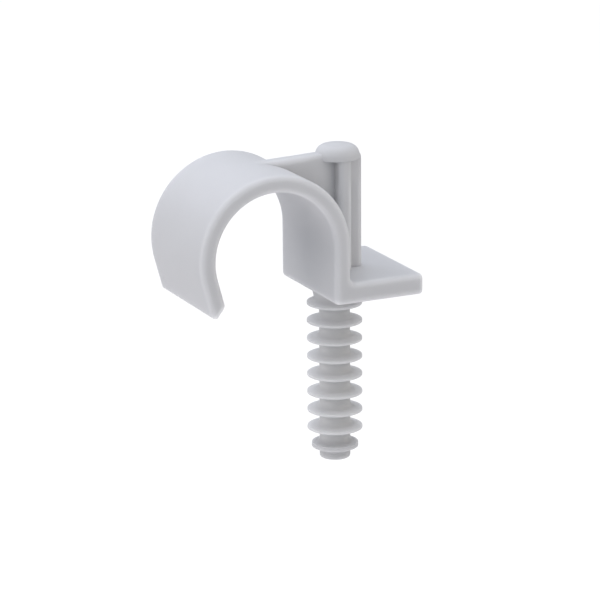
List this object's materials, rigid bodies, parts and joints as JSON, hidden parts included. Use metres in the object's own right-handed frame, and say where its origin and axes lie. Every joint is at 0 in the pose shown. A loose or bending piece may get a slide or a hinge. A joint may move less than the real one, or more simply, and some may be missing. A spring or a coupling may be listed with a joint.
{
  "type": "nail-in pipe clip",
  "caption": "Moulded clip with an open round hook that holds a pipe against a wall, a flat foot, a stiffening web up to a hammer head, and a ringed plug driven into a drilled hole.",
  "frame": {"origin": "where the plug's axis meets the underside of the foot, which lies on the wall", "axes": "+Z out of the wall along the plug's axis towards the hammer head, +Y along the held pipe, the hook on the -X side"},
  "size_m": [0.0415, 0.0222, 0.0566],
  "materials": {
    "plastic": "light bluish grey moulded plastic, satin to matte"
  },
  "bodies": {
    "root": {"pipe_clip": "plastic"}
  },
  "joints": []
}
